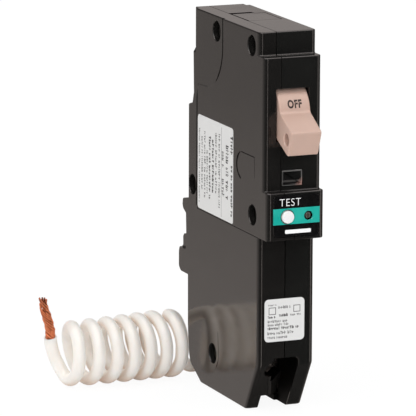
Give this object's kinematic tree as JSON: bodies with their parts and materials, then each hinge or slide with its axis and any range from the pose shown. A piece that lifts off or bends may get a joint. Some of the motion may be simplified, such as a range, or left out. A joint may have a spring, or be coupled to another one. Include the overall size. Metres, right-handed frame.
{
  "type": "plug-on ground-fault circuit breaker",
  "caption": "Single-pole plug-on ground-fault circuit breaker: slim two-part case, tan toggle, test button, trip window, load screws and a coiled neutral pigtail.",
  "frame": {"origin": "centre of the flat rear pad of the case, on the middle of its width", "axes": "+Y out of the rear pad towards the panel, -Y the handle side, +Z towards the line end (handle end), +X the right side seen from the handle side"},
  "size_m": [0.0684, 0.0845, 0.1204],
  "materials": {
    "case_plastic": "dark grey-black thermoset, satin, faint moulding texture",
    "partition_plastic": "dark moulded insulator",
    "handle_plastic": "tan moulded plastic, satin",
    "test_plate_plastic": "printed teal stripe on a black face plate",
    "button_plastic": "white moulded plastic",
    "lens_plastic": "smoked clear plastic window",
    "flag_plastic": "red-orange moulded plastic",
    "label_paper": null,
    "light_pipe": "smoked light pipe",
    "steel": "zinc plated steel",
    "silver_contact": "silver contact alloy",
    "copper": "copper, lightly tarnished",
    "brass": "brass",
    "bimetal": "bimetal strip",
    "fibre": "vulcanised fibre sheet",
    "board": "glass-epoxy board, green",
    "ferrite": "coated ferrite ring",
    "varistor": "epoxy dipped disc",
    "capacitor": "sleeved can",
    "chip": "moulded package",
    "wire_insulation": "white flexible insulation, slightly waxy"
  },
  "bodies": {
    "case_body": {"right_case_base": "case_plastic", "left_case_cover": "case_plastic", "inner_partition": "partition_plastic", "arc_vent_baffle": "case_plastic", "rivet_top_rear": "steel", "rivet_top_front": "steel", "rivet_mid_front": "steel", "rivet_mid_rear": "steel", "rivet_bottom": "steel", "side_label": "label_paper", "front_label": "label_paper", "test_face_plate": "test_plate_plastic", "test_contact_blade": "brass", "indicator_light_pipe": "light_pipe", "trip_window_lens": "lens_plastic", "trip_flag_pin": "steel", "handle_pin": "steel", "contact_arm_pin": "steel", "fixed_contact": "silver_contact", "line_strap": "copper", "line_jaw": "copper", "jaw_spring": "steel", "arc_chute_liner": "fibre", "arc_plate_1": "steel", "arc_plate_2": "steel", "arc_plate_3": "steel", "arc_plate_4": "steel", "toggle_spring": "steel", "cradle_pin": "steel", "armature_pin": "steel", "magnet_yoke": "steel", "bimetal": "bimetal", "calibration_screw": "steel", "flexible_braid": "copper", "load_strap": "copper", "neutral_load_strap": "copper", "circuit_board": "board", "current_sensor_ring": "ferrite", "solenoid_coil": "copper", "solenoid_frame": "steel", "surge_varistor": "varistor", "filter_capacitor": "capacitor", "control_chip": "chip", "neutral_pigtail": "wire_insulation", "pigtail_conductor": "copper"},
    "handle_body": {"handle": "handle_plastic"},
    "arm_body": {"contact_arm": "copper", "moving_contact": "silver_contact"},
    "cradle_body": {"cradle": "steel"},
    "flag_body": {"trip_flag": "flag_plastic"},
    "armature_body": {"armature": "steel"},
    "button_body": {"test_button": "button_plastic"},
    "plunger_body": {"solenoid_plunger": "steel"},
    "load_clamp_body": {"load_terminal_clamp": "brass"},
    "load_screw_body": {"load_terminal_screw": "steel"},
    "neutral_clamp_body": {"neutral_terminal_clamp": "brass"},
    "neutral_screw_body": {"neutral_terminal_screw": "steel"}
  },
  "joints": [
    {"name": "handle_toggle", "type": "hinge", "parent": "case_body", "child": "handle_body", "pos_m": [0, -0.0553, 0.0216], "axis": [-1, 0, 0], "range_deg": [0, 46]},
    {"name": "contact_arm_swing", "type": "hinge", "parent": "case_body", "child": "arm_body", "pos_m": [0, -0.0433, 0.0166], "axis": [-1, 0, 0], "range_deg": [0, 19]},
    {"name": "cradle_trip", "type": "hinge", "parent": "case_body", "child": "cradle_body", "pos_m": [0, -0.0218, 0.0086], "axis": [-1, 0, 0], "range_deg": [0, 20]},
    {"name": "trip_flag_turn", "type": "hinge", "parent": "case_body", "child": "flag_body", "pos_m": [0, -0.0418, 0.0011], "axis": [1, 0, 0], "range_deg": [0, 17]},
    {"name": "armature_latch", "type": "hinge", "parent": "case_body", "child": "armature_body", "pos_m": [0, -0.0473, -0.0314], "axis": [-1, 0, 0], "range_deg": [0, 6]},
    {"name": "test_button_press", "type": "slide", "parent": "case_body", "child": "button_body", "axis": [0, 1, 0], "range_m": [0, 0.0009]},
    {"name": "plunger_pull", "type": "slide", "parent": "case_body", "child": "plunger_body", "axis": [0, 1, 0], "range_m": [0, 0.0023]},
    {"name": "load_clamp_slide", "type": "slide", "parent": "case_body", "child": "load_clamp_body", "axis": [0, 1, 0], "range_m": [0, 0.00238]},
    {"name": "load_screw_turn", "type": "hinge", "parent": "load_clamp_body", "child": "load_screw_body", "pos_m": [0.0029, -0.0416, -0.0604], "axis": [0, 1, 0], "range_deg": [0, 1080]},
    {"name": "neutral_clamp_slide", "type": "slide", "parent": "case_body", "child": "neutral_clamp_body", "axis": [0, 1, 0], "range_m": [0, 0.00238]},
    {"name": "neutral_screw_turn", "type": "hinge", "parent": "neutral_clamp_body", "child": "neutral_screw_body", "pos_m": [-0.0054, -0.0416, -0.0594], "axis": [0, 1, 0], "range_deg": [0, 1080]}
  ],
  "couplings": [
    {"joint": "contact_arm_swing", "follows": "handle_toggle", "ratio": 0.41087},
    {"joint": "trip_flag_turn", "follows": "cradle_trip", "ratio": 0.845},
    {"joint": "load_screw_turn", "follows": "load_clamp_slide", "rad_per_m": 7913.3},
    {"joint": "neutral_screw_turn", "follows": "neutral_clamp_slide", "rad_per_m": 7913.3}
  ]
}
